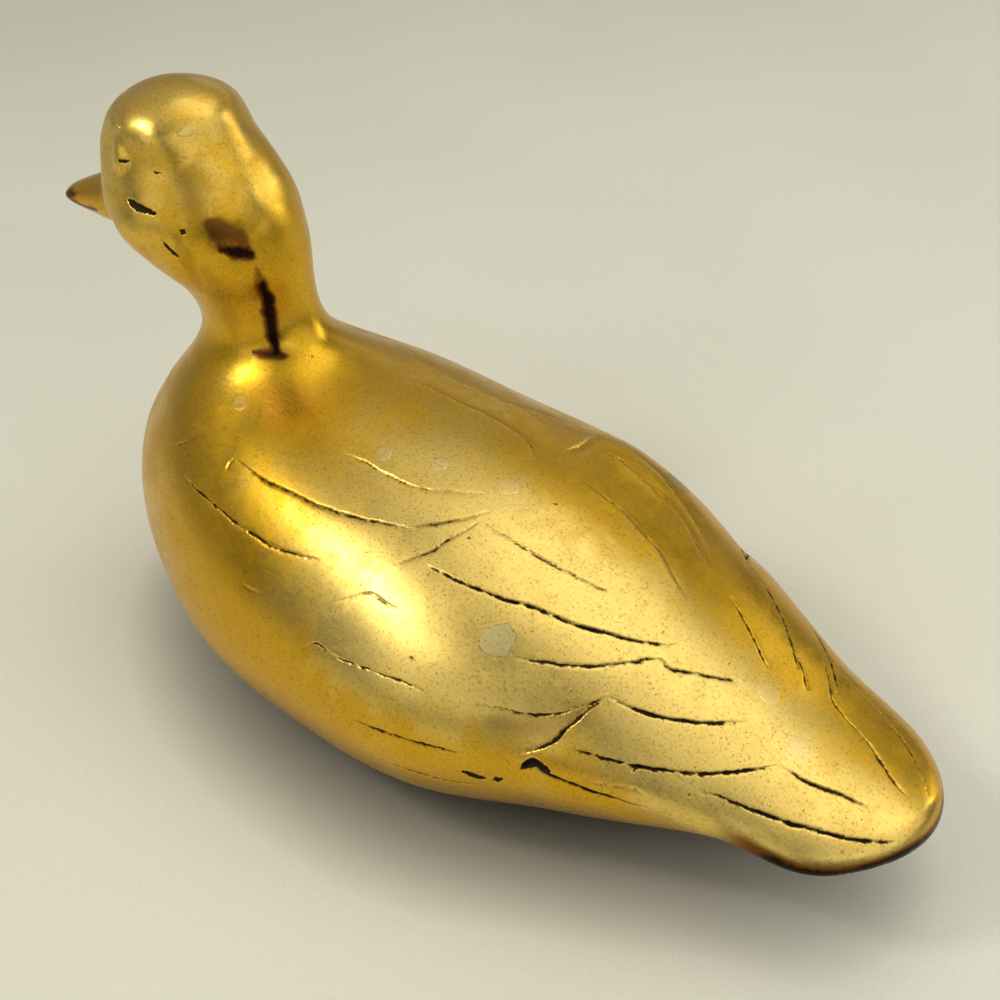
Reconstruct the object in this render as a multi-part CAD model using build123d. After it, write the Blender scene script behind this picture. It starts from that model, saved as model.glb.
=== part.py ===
from build123d import *
import os
from math import cos, hypot, pi, radians, sin, sqrt

# Hollow cast brass duck, an ornament that stands on the flat face ground on its belly.
# The origin is the middle of that face. +X points to the breast, +Y to the duck's left and +Z up.
# Lengths are in millimetres and angles in degrees.

os.makedirs("parts", exist_ok=True)

# Body casting
body_length = 183.0
body_width = 88.0
body_height = 65.0
wall = 3.0
base_share = 0.59
cavity_tail_length = 19.0
cavity_breast_length = 6.5

# Shares of the body's length, counted from the tip of the tail, and what the body measures there:
# half its width, the height of its widest line, and its rise above and drop below that line.
station_shares = (0.0, 0.06, 0.16, 0.30, 0.45, 0.60, 0.74, 0.86, 0.95, 1.0)
half_width_shares = (0.0, 0.418, 0.532, 0.771, 0.995, 1.0, 0.922, 0.72, 0.446, 0.0)
widest_height_shares = (0.363, 0.340, 0.388, 0.429, 0.417, 0.390, 0.409, 0.465, 0.495, 0.514)
rise_shares = (0.036, 0.111, 0.163, 0.311, 0.463, 0.552, 0.584, 0.516, 0.334, 0.0)
drop_shares = (0.032, 0.048, 0.163, 0.348, 0.448, 0.436, 0.430, 0.409, 0.272, 0.0)

# Head casting. Its sections lie flat, one above another, and move forward as they rise.
head_length = 37.4
head_width = 35.4
crown_height = 116.0
neck_root_height = 55.0
neck_share = 0.829
head_turn = 10.0
level_shares = (0.0, 0.12, 0.25, 0.38, 0.50, 0.62, 0.74, 0.86, 0.95, 1.0)
forward_shares = (-0.036, -0.033, -0.015, 0.041, 0.167, 0.269, 0.325, 0.349, 0.338, 0.333)
half_length_shares = (0.94, 0.79, 0.69, 0.717, 0.914, 1.0, 0.888, 0.738, 0.535, 0.0)
half_breadth_shares = (0.797, 0.661, 0.599, 0.695, 0.91, 1.0, 0.904, 0.723, 0.514, 0.0)

# Bill, from its root inside the head to its tip
bill_length = 26.5
bill_width = 15.4
bill_depth = 13.8
bill_root_forward = 18.9
bill_root_height = 90.7
bill_droop = 3.1
bill_shares = (0.0, 0.30, 0.50, 0.70, 0.85, 0.95, 1.0)
bill_width_shares = (1.0, 0.91, 0.80, 0.65, 0.55, 0.40, 0.12)
bill_depth_shares = (1.0, 0.80, 0.73, 0.54, 0.37, 0.19, 0.07)

# Eyes
eye_radius = 2.6
eye_forward = 15.3
eye_side = 12.2
eye_height = 104.0

# Neck joint: a hollow spigot on the head casting, brazed into a socket in the body casting
seam_height = 69.0
seam_thickness = 0.5
spigot_radius = 7.0
spigot_length = 9.5
spigot_bore_radius = 4.5
spigot_clearance = 0.1
neck_floor = 4.0
neck_fillet = 5.0

# Belly plate, its brazed seam and the plug of its core hole
plate_length = 54.0
plate_width = 27.0
plate_thickness = 2.5
plate_seam_width = 0.6
ledge_width = 2.5
ledge_thickness = 1.5
plug_radius = 6.0
plug_clearance = 0.1
plug_recess = 0.3
plug_slot_width = 1.4
plug_slot_depth = 1.0

# Chaplets: the studs that held the core. Each is a share of the body's length and an angle
# round its section, counted from the left side up over the back, with the stud's radius.
small_chaplet_radius = 1.8
chaplet_radius = 2.2
large_chaplet_radius = 2.7
body_chaplets = {
    "chaplet_left_wing": (0.379, 48.0, large_chaplet_radius),
    "chaplet_right_wing": (0.379, 132.0, large_chaplet_radius),
    "chaplet_back": (0.469, 86.0, chaplet_radius),
    "chaplet_left_mantle_front": (0.594, 75.0, small_chaplet_radius),
    "chaplet_left_mantle_rear": (0.539, 81.0, small_chaplet_radius),
    "chaplet_left_shoulder": (0.771, 65.0, small_chaplet_radius),
    "chaplet_right_shoulder": (0.771, 115.0, small_chaplet_radius),
    "chaplet_rump": (0.174, 88.0, chaplet_radius),
    "chaplet_left_tail": (0.127, 76.0, chaplet_radius),
}
crown_chaplet_level_share = 0.9
crown_chaplet_angle = 137.0

# Fineness of the lofts: sections along a form and points round a section
section_count = 24
head_section_count = 16
point_count = 24
tip_share = 0.0006
overrun = 2.0


def smooth(share, places, values):
    """Value at a share, on a smooth curve through the values at their places."""
    steps = [after - before for before, after in zip(places, places[1:])]
    slopes = [(after - before) / step for before, after, step in zip(values, values[1:], steps)]
    tangents = [slopes[0]]
    for index in range(1, len(slopes)):
        weighted = slopes[index - 1] * steps[index] + slopes[index] * steps[index - 1]
        tangents.append(weighted / (steps[index - 1] + steps[index]))
    tangents.append(slopes[-1])
    span = min(sum(share >= place for place in places[1:]), len(steps) - 1)
    t = (share - places[span]) / steps[span]
    start = (1 + 2 * t) * (1 - t) ** 2 * values[span]
    end = t * t * (3 - 2 * t) * values[span + 1]
    start_bend = t * (1 - t) ** 2 * steps[span] * tangents[span]
    end_bend = t * t * (t - 1) * steps[span] * tangents[span + 1]
    return start + end + start_bend + end_bend


def rounded(share, places, values):
    """The same for a size that closes like the end of an egg."""
    return sqrt(max(smooth(share, places, [value * value for value in values]), 0.0))


def even_shares(count, first, last):
    """Shares from first to last, closer together at both ends."""
    turns = [pi * index / (count - 1) for index in range(count)]
    return [first + (last - first) * (1 - cos(turn)) / 2 for turn in turns]


def skin(sections):
    """Solid through closed sections, each a list of points."""
    return Solid.make_loft([Wire([Edge.make_spline(points, periodic=True)]) for points in sections])


# The body's sections stand square to its length.
tail_x = -base_share * body_length


def body_sizes(share):
    half_width = rounded(share, station_shares, half_width_shares) * body_width / 2
    widest = smooth(share, station_shares, widest_height_shares) * body_height
    rise = rounded(share, station_shares, rise_shares) * body_height
    drop = rounded(share, station_shares, drop_shares) * body_height
    return half_width, widest, rise, drop


def body_point(share, angle, depth=0.0, lowest=None):
    half_width, widest, rise, drop = body_sizes(share)
    rise = rise - depth
    drop = drop - depth
    if lowest is not None:
        drop = min(drop, widest - lowest)
    side = (half_width - depth) * cos(radians(angle))
    lift = rise if sin(radians(angle)) > 0 else drop
    return Vector(tail_x + share * body_length, side, widest + lift * sin(radians(angle)))


def body_section(share, depth=0.0, lowest=None):
    angles = [360 * index / point_count for index in range(point_count)]
    return [body_point(share, angle, depth, lowest) for angle in angles]


# The head's sections lie level, in a frame whose upright axis is the neck's.
neck_x = tail_x + neck_share * body_length
head_place = Pos(neck_x, 0, 0) * Rot(0, 0, head_turn)
head_rise = crown_height - neck_root_height


def head_point(share, angle, depth=0.0):
    forward = smooth(share, level_shares, forward_shares) * head_length
    half_length = rounded(share, level_shares, half_length_shares) * head_length / 2 - depth
    half_breadth = rounded(share, level_shares, half_breadth_shares) * head_width / 2 - depth
    along = forward + half_length * cos(radians(angle))
    across = half_breadth * sin(radians(angle))
    return Vector(along, across, neck_root_height + share * head_rise)


def head_section(share, depth=0.0):
    angles = [360 * index / point_count for index in range(point_count)]
    return [head_point(share, angle, depth) for angle in angles]


def bill_section(share):
    half_width = smooth(share, bill_shares, bill_width_shares) * bill_width / 2
    half_depth = smooth(share, bill_shares, bill_depth_shares) * bill_depth / 2
    forward = bill_root_forward + share * bill_length
    height = bill_root_height - share * bill_droop
    turns = [2 * pi * index / point_count for index in range(point_count)]
    return [Vector(forward, half_width * cos(turn), height + half_depth * sin(turn)) for turn in turns]


def slab(low, high):
    """Block wider than the duck, between two heights."""
    reach = 2 * (body_length + head_length + bill_length)
    return Pos(0, 0, (low + high) / 2) * Box(reach, reach, high - low)


def upright(radius, low, high):
    return Pos(0, 0, (low + high) / 2) * Cylinder(radius, high - low)


def oval(length, width, low, high):
    return Pos(0, 0, low) * extrude(Ellipse(length / 2, width / 2), high - low)


def stud(foot, outward, radius, below, above):
    """Cylinder along a surface's outward direction, from below that surface to above it."""
    place = Plane(origin=foot, z_dir=outward)
    return place * Pos(0, 0, (above - below) / 2) * Cylinder(radius, below + above)


def outward_at(point, share, angle):
    """Outward direction of a form at a share and an angle, from the points beside it."""
    share_step = 0.01
    angle_step = 2.0
    along = point(share + share_step, angle) - point(share - share_step, angle)
    around = point(share, angle + angle_step) - point(share, angle - angle_step)
    return around.cross(along).normalized()


# Outer forms
body_shares = even_shares(section_count, tip_share, 1 - tip_share)
body_form = skin([body_section(share) for share in body_shares])
head_shares = even_shares(head_section_count, 0.0, 1 - tip_share)
neck_form = skin([head_section(share) for share in head_shares])
bill_form = skin([bill_section(share) for share in bill_shares])
seam_low = seam_height - seam_thickness / 2
seam_high = seam_height + seam_thickness / 2

# Core of the body: what the sand filled
belly_floor = plate_thickness + ledge_thickness
core_first = cavity_tail_length / body_length
core_last = 1 - cavity_breast_length / body_length
core_shares = even_shares(section_count, core_first, core_last)
body_core = skin([body_section(share, wall, belly_floor) for share in core_shares])

# Core of the head, above the floor of the neck
core_low = (seam_high + neck_floor - neck_root_height) / head_rise
core_high = 1 - 2 * wall / head_rise
head_core_shares = even_shares(head_section_count, core_low, core_high)
head_core = skin([head_section(share, wall) for share in head_core_shares])

# Body casting: the body and the collar that carries the neck, joined by a rounded corner
collar = head_place * (neck_form & slab(0, seam_low))
body_casting = (body_form & slab(0, crown_height)) + collar
inner_edges = [
    edge
    for edge in body_casting.edges()
    if edge.center().Z < seam_low - overrun
    and edge.center().Z > neck_root_height
    and hypot(edge.center().X - neck_x, edge.center().Y) < head_length
]
body_casting = fillet(inner_edges, neck_fillet)
body_casting = body_casting - body_core
socket_bottom = neck_root_height - overrun
socket = upright(spigot_radius + spigot_clearance, socket_bottom, seam_height)
body_casting = body_casting - head_place * socket

# Opening in the belly, with the rebate that the plate lies in
opening_length = plate_length - 2 * ledge_width
opening_width = plate_width - 2 * ledge_width
rebate_length = plate_length + 2 * plate_seam_width
rebate_width = plate_width + 2 * plate_seam_width
opening_top = belly_floor + wall
body_casting = body_casting - oval(opening_length, opening_width, -overrun, opening_top)
body_casting = body_casting - oval(rebate_length, rebate_width, -overrun, plate_thickness)

# Head casting: neck, head and bill in one, hollow, with its spigot and eyes
spigot_low = seam_low - spigot_length
head_solid = (neck_form & slab(seam_high, crown_height + overrun)) + bill_form
for side in (-1, 1):
    head_solid = head_solid + Pos(eye_forward, side * eye_side, eye_height) * Sphere(eye_radius)
head_solid = head_solid + upright(spigot_radius, spigot_low, seam_high + overrun)
head_solid = head_solid - head_core
spigot_bore = upright(spigot_bore_radius, spigot_low - overrun, seam_high + neck_floor + overrun)
head_solid = head_solid - spigot_bore
head_casting = head_place * head_solid

# Brazed ring between collar and neck
neck_disc = neck_form & slab(seam_low, seam_high)
neck_braze = head_place * (neck_disc - upright(spigot_radius, seam_low, seam_high))

# Belly plate with its core hole, the brazed seam round it, and the slotted plug
belly_plate = oval(plate_length, plate_width, 0, plate_thickness)
belly_plate = belly_plate - upright(plug_radius + plug_clearance, -overrun, plate_thickness + overrun)
belly_braze = oval(rebate_length, rebate_width, 0, plate_thickness)
belly_braze = belly_braze - oval(plate_length, plate_width, -overrun, plate_thickness + overrun)
core_plug = upright(plug_radius, plug_recess, plate_thickness)
slot_height = plug_recess + plug_slot_depth
core_plug = core_plug - Box(2 * plug_radius + overrun, plug_slot_width, 2 * slot_height)

nodes = {
    "neck_braze": neck_braze,
    "belly_plate": belly_plate,
    "belly_braze": belly_braze,
    "core_plug": core_plug,
}

# Chaplets of the body: each is the piece of wall that its cylinder takes out
for name, (share, angle, radius) in body_chaplets.items():
    outward = outward_at(body_point, share, angle)
    cutter = stud(body_point(share, angle), outward, radius, 2 * wall, wall)
    nodes[name] = body_casting & cutter
    body_casting = body_casting - cutter

# Chaplet of the head, made the same way
outward = outward_at(head_point, crown_chaplet_level_share, crown_chaplet_angle)
foot = head_point(crown_chaplet_level_share, crown_chaplet_angle)
cutter = head_place * stud(foot, outward, small_chaplet_radius, 2 * wall, wall)
nodes["chaplet_crown"] = head_casting & cutter
head_casting = head_casting - cutter

nodes["body_casting"] = body_casting
nodes["head_casting"] = head_casting

for name, shape in nodes.items():
    export_step(shape, f"parts/{name}.step")
    print(name, len(shape.solids()), "solid")
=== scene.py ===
from functools import partialmethod
from itertools import product
from math import cos, pi, radians, sin

import bpy
import numpy as np
from mathutils import Matrix, Vector
from mathutils.bvhtree import BVHTree


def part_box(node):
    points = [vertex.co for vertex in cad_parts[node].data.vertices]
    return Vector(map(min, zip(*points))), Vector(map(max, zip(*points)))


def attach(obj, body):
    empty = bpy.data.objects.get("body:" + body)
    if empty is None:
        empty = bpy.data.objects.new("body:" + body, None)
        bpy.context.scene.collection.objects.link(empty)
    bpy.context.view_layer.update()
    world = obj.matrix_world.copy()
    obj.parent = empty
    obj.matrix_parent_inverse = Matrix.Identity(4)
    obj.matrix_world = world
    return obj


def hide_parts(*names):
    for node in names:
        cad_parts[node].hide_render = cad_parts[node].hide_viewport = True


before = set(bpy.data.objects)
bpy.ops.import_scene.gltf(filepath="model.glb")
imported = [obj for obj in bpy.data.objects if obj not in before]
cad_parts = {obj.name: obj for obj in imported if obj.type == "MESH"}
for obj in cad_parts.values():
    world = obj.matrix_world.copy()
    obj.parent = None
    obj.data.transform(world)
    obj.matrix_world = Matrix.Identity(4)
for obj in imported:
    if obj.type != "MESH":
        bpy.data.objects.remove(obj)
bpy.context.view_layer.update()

# Brass duck, dressed for its picture. Lengths are in millimetres, and MM makes metres of them.
# +X points to the breast, +Y to the duck's left, +Z up, and the duck stands on z = 0.
MM = 0.001


def node_box(name):
    low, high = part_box(name)
    return np.array(low) / MM, np.array(high) / MM


# Sizes that the CAD pieces give
body_low, body_high = node_box("body_casting")
head_high = node_box("head_casting")[1]
ring_low, ring_high = node_box("neck_braze")
seam_high = node_box("belly_braze")[1]
tail_x = body_low[0]
body_length = body_high[0] - body_low[0]
crown_height = head_high[2]
# The body's width over the flanks and its height without the collar, as the CAD model has them
body_width = 88.0
body_height = 65.0

# Shares of the body's length from the tail, and what it measures there, as the CAD model has them
station_shares = (0.0, 0.06, 0.16, 0.30, 0.45, 0.60, 0.74, 0.86, 0.95, 1.0)
half_width_shares = (0.0, 0.418, 0.532, 0.771, 0.995, 1.0, 0.922, 0.72, 0.446, 0.0)
widest_height_shares = (0.363, 0.340, 0.388, 0.429, 0.417, 0.390, 0.409, 0.465, 0.495, 0.514)
rise_shares = (0.036, 0.111, 0.163, 0.311, 0.463, 0.552, 0.584, 0.516, 0.334, 0.0)
drop_shares = (0.032, 0.048, 0.163, 0.348, 0.448, 0.436, 0.430, 0.409, 0.272, 0.0)
tail_round_share = 0.014

# Level sections of the neck and head
head_length = 37.4
head_width = 35.4
neck_root_height = 55.0
neck_share = 0.829
head_turn = 10.0
neck_x = tail_x + neck_share * body_length
level_shares = (0.0, 0.12, 0.25, 0.38, 0.50, 0.62, 0.74, 0.86, 0.95, 1.0)
forward_shares = (-0.036, -0.033, -0.015, 0.041, 0.167, 0.269, 0.325, 0.349, 0.338, 0.333)
half_length_shares = (0.94, 0.79, 0.69, 0.717, 0.914, 1.0, 0.888, 0.738, 0.535, 0.0)
half_breadth_shares = (0.797, 0.661, 0.599, 0.695, 0.91, 1.0, 0.904, 0.723, 0.514, 0.0)

# Bill and eyes, in the head's own frame
bill_length = 26.5
bill_width = 15.4
bill_depth = 14.6
bill_root_forward = 18.9
bill_root_height = 90.7
bill_droop = 3.1
bill_shares = (0.0, 0.30, 0.50, 0.70, 0.85, 0.95, 1.0)
bill_width_shares = (1.0, 0.91, 0.80, 0.65, 0.55, 0.40, 0.0)
bill_depth_shares = (1.0, 0.80, 0.73, 0.54, 0.37, 0.22, 0.0)
eye_radius = 2.4
eye_place = (15.4, 12.4, 104.0)

# How softly the forms run into each other
neck_blend = 9.0
bill_blend = 4.0
eye_blend = 1.2
ground_blend = 0.8

# The photograph's camera, whose pixels the engraved lines below are drawn in
camera_place = np.array((-152.55, 159.05, 205.96))
camera_right = np.array((-0.7757, -0.6304, -0.0293))
camera_up = np.array((0.3585, -0.4784, 0.8016))
camera_forward = np.array((0.5194, -0.6113, -0.5971))
camera_focus_pixels = 1404.66
picture_pixels = 1000
sensor_width = 36.0

# Mesh fineness: the steps of the first mesh and of the lines, then how near to a line edges are split and
# how long they may stay. The finest are those at deep cuts.
voxel = 0.8
line_step = 0.35
coarse_reach, coarse_edge = 2.6, 0.75 * voxel
fine_reach, fine_edge = 1.5, 0.4 * voxel
finest_reach, finest_edge = 0.5, 0.2 * voxel
deep_cut = 0.3
# Step over which a form's slope is measured
probe = 0.05


def curve(places, values):
    """Smooth curve through values at their places, which runs on straight past both ends."""
    table_size = 4001
    places = np.array(places, float)
    values = np.array(values, float)
    steps = np.diff(places)
    slopes = np.diff(values) / steps
    inner = (slopes[:-1] * steps[1:] + slopes[1:] * steps[:-1]) / (steps[:-1] + steps[1:])
    tangents = np.concatenate([slopes[:1], inner, slopes[-1:]])
    shares = np.linspace(places[0], places[-1], table_size)
    span = np.clip(np.searchsorted(places, shares, side="right") - 1, 0, len(steps) - 1)
    t = (shares - places[span]) / steps[span]
    table = (1 + 2 * t) * (1 - t) ** 2 * values[span] + t * t * (3 - 2 * t) * values[span + 1]
    table += t * (1 - t) ** 2 * steps[span] * tangents[span]
    table += t * t * (t - 1) * steps[span] * tangents[span + 1]

    def at(share):
        before = np.minimum(share - places[0], 0) * tangents[0]
        after = np.maximum(share - places[-1], 0) * tangents[-1]
        return np.interp(share, shares, table) + before + after

    return at


def squares(places, values, size):
    """The square of a size that closes like the end of an egg."""
    return curve(places, [(value * size) ** 2 for value in values])


body_width_square = squares(station_shares, half_width_shares, body_width / 2)
body_widest = curve(station_shares, [share * body_height for share in widest_height_shares])
body_rise_square = squares(station_shares, rise_shares, body_height)
body_drop_square = squares(station_shares, drop_shares, body_height)
head_forward = curve(level_shares, [share * head_length for share in forward_shares])
head_length_square = squares(level_shares, half_length_shares, head_length / 2)
head_breadth_square = squares(level_shares, half_breadth_shares, head_width / 2)
bill_width_square = squares(bill_shares, bill_width_shares, bill_width / 2)
bill_depth_square = squares(bill_shares, bill_depth_shares, bill_depth / 2)
turn = radians(head_turn)
least_square = 1e-4
tiny = 1e-9


def to_head(points):
    """From the duck's frame to the head's own, which is turned about the neck."""
    x = points[..., 0] - neck_x
    y = points[..., 1]
    return np.stack([x * cos(turn) + y * sin(turn), y * cos(turn) - x * sin(turn), points[..., 2]], -1)


def from_head(points):
    points = np.asarray(points, float)
    x = points[..., 0]
    y = points[..., 1]
    ahead = neck_x + x * cos(turn) - y * sin(turn)
    return np.stack([ahead, x * sin(turn) + y * cos(turn), points[..., 2]], -1)


def safe(values):
    """The same values, kept off zero so that they can divide."""
    return np.where(np.abs(values) < least_square, least_square, values)


def body_form(points):
    """Below zero inside the body, above zero outside it."""
    share = (points[:, 0] - tail_x) / body_length
    above = points[:, 2] - body_widest(share)
    end = np.minimum(share / tail_round_share, 1.0)
    rounding = end * (2 - end)
    height_square = np.where(above > 0, body_rise_square(share), body_drop_square(share)) * rounding
    width_square = body_width_square(share)
    return points[:, 1] ** 2 + above ** 2 * width_square / safe(height_square) - width_square


def head_form(points):
    local = to_head(points)
    above = local[:, 2] - neck_root_height
    level = np.maximum(above / (crown_height - neck_root_height), 0)
    length_square = head_length_square(level)
    breadth_square = head_breadth_square(level)
    along = local[:, 0] - head_forward(level)
    below = np.minimum(above, 0)
    return along ** 2 * breadth_square / safe(length_square) + local[:, 1] ** 2 + below ** 2 - breadth_square


def bill_form(points):
    local = to_head(points)
    along = local[:, 0] - bill_root_forward
    share = np.maximum(along / bill_length, 0)
    width_square = bill_width_square(share)
    depth_square = bill_depth_square(share)
    above = local[:, 2] - (bill_root_height - share * bill_droop)
    behind = np.minimum(along, 0)
    return local[:, 1] ** 2 * depth_square / safe(width_square) + above ** 2 + behind ** 2 - depth_square


def eye_form(points):
    local = to_head(points)
    local[:, 1] = np.abs(local[:, 1])
    return np.linalg.norm(local - np.array(eye_place), axis=1) - eye_radius


def measured(form, points):
    """How far points are outside a form, and which way out is."""
    slope = np.empty_like(points)
    for axis in range(3):
        step = np.zeros(3)
        step[axis] = probe
        slope[:, axis] = (form(points + step) - form(points - step)) / (2 * probe)
    steepness = np.linalg.norm(slope, axis=1) + tiny
    return form(points) / steepness, slope / steepness[:, None]


def unit(vectors):
    return vectors / (np.linalg.norm(vectors, axis=-1, keepdims=True) + tiny)


def joined(first, second, radius):
    """Two measured forms as one, with a rounded inner corner."""
    share = np.clip(0.5 + 0.5 * (second[0] - first[0]) / radius, 0, 1)
    gap = second[0] + (first[0] - second[0]) * share - radius * share * (1 - share)
    return gap, unit(second[1] + (first[1] - second[1]) * share[:, None])


def skin(points):
    """How far points are outside the duck's smooth form, and which way out is."""
    whole = joined(measured(body_form, points), measured(head_form, points), neck_blend)
    whole = joined(whole, measured(bill_form, points), bill_blend)
    whole = joined(whole, measured(eye_form, points), eye_blend)
    ground = (-points[:, 2], np.tile((0.0, 0.0, -1.0), (len(points), 1)))
    inside_out = joined((-whole[0], whole[1]), (-ground[0], ground[1]), ground_blend)
    return -inside_out[0], inside_out[1]


def seated(points, rounds=3):
    """Points moved onto the duck's smooth form."""
    longest_move = 2
    for _ in range(rounds):
        gap, outward = skin(points)
        points = points - np.clip(gap, -longest_move, longest_move)[:, None] * outward
    return points


def ripple(points, size, seed):
    """Smooth noise from -1 to 1 whose bumps are about one size across."""
    cells = 32
    lattice = np.random.default_rng(seed).uniform(-1, 1, (cells, cells, cells))
    place = points / size
    corner = np.floor(place).astype(int)
    t = place - corner
    t = t * t * (3 - 2 * t)
    total = np.zeros(len(points))
    for offset in product((0, 1), repeat=3):
        weight = np.prod(np.where(np.array(offset) == 1, t, 1 - t), axis=1)
        index = (corner + offset) % cells
        total += weight * lattice[index[:, 0], index[:, 1], index[:, 2]]
    return total


def waves(points, layers, middle=0.0):
    """Layers of smooth noise, added to a middle value."""
    return sum((height * ripple(points, size, seed) for height, size, seed in layers), middle)


def rise(values, start, width):
    """From 0 at the start to 1 a width further on, which lies below it where the width is negative."""
    return np.clip((values - start) / width, 0, 1)


def bell(values, width, middle=0.0):
    """1 at the middle, falling off to both sides over about a width."""
    return np.exp(-((values - middle) / width) ** 2)


def raise_to(values, picked, least):
    """Raises the picked values to at least the given ones."""
    values[picked] = np.maximum(values[picked], least)


def round_angles(count):
    return np.linspace(0, 2 * pi, count, endpoint=False)


def tube(rings):
    """Closed mesh through rings of points: its points and its faces."""
    count = len(rings[0])
    faces = [tuple(range(count))[::-1], tuple((len(rings) - 1) * count + k for k in range(count))]
    for row in range(len(rings) - 1):
        for k in range(count):
            after = (k + 1) % count
            low = row * count
            faces.append((low + k, low + after, low + count + after, low + count + k))
    return np.concatenate(rings), faces


def body_ring(share, cosine, sine):
    lift = np.where(sine > 0, body_rise_square(share), body_drop_square(share)) ** 0.5
    across = np.sqrt(body_width_square(share)) * cosine
    return tail_x + share * body_length, across, body_widest(share) + lift * sine


def head_ring(level, cosine, sine):
    along = head_forward(level) + np.sqrt(head_length_square(level)) * cosine
    height = neck_root_height + level * (crown_height - neck_root_height)
    return along, np.sqrt(head_breadth_square(level)) * sine, height


def bill_ring(share, cosine, sine):
    height = bill_root_height - share * bill_droop + np.sqrt(bill_depth_square(share)) * sine
    return bill_root_forward + share * bill_length, np.sqrt(bill_width_square(share)) * cosine, height


def rough_forms():
    """Body, head and bill as overlapping closed meshes, which are near enough to be seated on the skin."""
    margin = 0.001
    spokes = 96
    turns = round_angles(spokes)
    forms = []
    for ring, count, in_head in ((body_ring, 110, False), (head_ring, 80, True), (bill_ring, 40, True)):
        rings = []
        for share in margin + (1 - 2 * margin) * (1 - np.cos(np.linspace(0, pi, count))) / 2:
            points = np.stack(np.broadcast_arrays(*ring(share, np.cos(turns), np.sin(turns))), -1)
            rings.append(from_head(points) if in_head else points)
        forms.append(tube(rings))
    return forms


def placed(name, data):
    """New object in the scene."""
    thing = bpy.data.objects.new(name, data)
    bpy.context.scene.collection.objects.link(thing)
    return thing


def voxel_skin():
    """One closed mesh round the rough forms: its points, and its faces as triangles."""
    points = []
    faces = []
    count = 0
    for form_points, form_faces in rough_forms():
        points.append(form_points)
        faces += [tuple(count + index for index in face) for face in form_faces]
        count += len(form_points)
    mesh = bpy.data.meshes.new("rough")
    mesh.from_pydata((np.concatenate(points) * MM).tolist(), [], faces)
    rough = placed("rough", mesh)
    remesh = rough.modifiers.new("remesh", "REMESH")
    remesh.mode = "VOXEL"
    remesh.voxel_size = voxel * MM
    remesh.adaptivity = 0
    evaluated = rough.evaluated_get(bpy.context.evaluated_depsgraph_get())
    result = evaluated.to_mesh()
    result.calc_loop_triangles()
    flat = np.empty(len(result.vertices) * 3)
    result.vertices.foreach_get("co", flat)
    corners = np.empty(len(result.loop_triangles) * 3, dtype=np.int64)
    result.loop_triangles.foreach_get("vertices", corners)
    evaluated.to_mesh_clear()
    bpy.data.objects.remove(rough)
    bpy.data.meshes.remove(mesh)
    return flat.reshape(-1, 3) / MM, corners.reshape(-1, 3)


def split(points, triangles, choose):
    """Triangles cut at the edges that choose picks, at the places that it gives along them."""
    ends = triangles[:, [0, 1, 1, 2, 2, 0]].reshape(-1, 2)
    low = ends.min(axis=1)
    high = ends.max(axis=1)
    keys, index = np.unique(low * len(points) + high, return_inverse=True)
    first = keys // len(points)
    second = keys % len(points)
    picked, share = choose(points[first], points[second])
    share = np.broadcast_to(share, len(keys))[picked][:, None]
    added = points[first[picked]] * (1 - share) + points[second[picked]] * share
    middle = np.full(len(keys), -1)
    middle[picked] = len(points) + np.arange(picked.sum())
    middle = middle[index.reshape(-1, 3)]
    count = (middle >= 0).sum(axis=1)
    kept = [triangles[count == 0]]
    for start in range(3):
        order = [start, (start + 1) % 3, (start + 2) % 3]
        a, b, c = triangles[:, order].T
        ab, bc, ca = middle[:, order].T
        one = (count == 1) & (ab >= 0)
        kept += [np.stack(face, -1)[one] for face in ((a, ab, c), (ab, b, c))]
        two = (count == 2) & (ca < 0)
        kept += [np.stack(face, -1)[two] for face in ((ab, b, bc), (a, ab, bc), (a, bc, c))]
    a, b, c = triangles.T
    ab, bc, ca = middle.T
    kept += [np.stack(face, -1)[count == 3] for face in ((a, ab, ca), (ab, b, bc), (ca, bc, c), (ab, bc, ca))]
    return np.concatenate([points, added]), np.concatenate(kept)


def close_to(samples, reach):
    """Test that says which points lie within about a reach of the samples."""
    cell = reach / 2
    span = 4096
    most_cells, far_square = 2, 7

    def key(cells):
        cells = cells + span // 2
        return (cells[..., 0] * span + cells[..., 1]) * span + cells[..., 2]

    around = product(range(-most_cells, most_cells + 1), repeat=3)
    offsets = np.array([offset for offset in around if np.dot(offset, offset) < far_square])
    marked = np.floor(samples / cell).astype(np.int64)[:, None] + offsets
    marked = np.unique(key(marked))
    return lambda points: np.isin(key(np.floor(points / cell).astype(np.int64)), marked)


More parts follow.
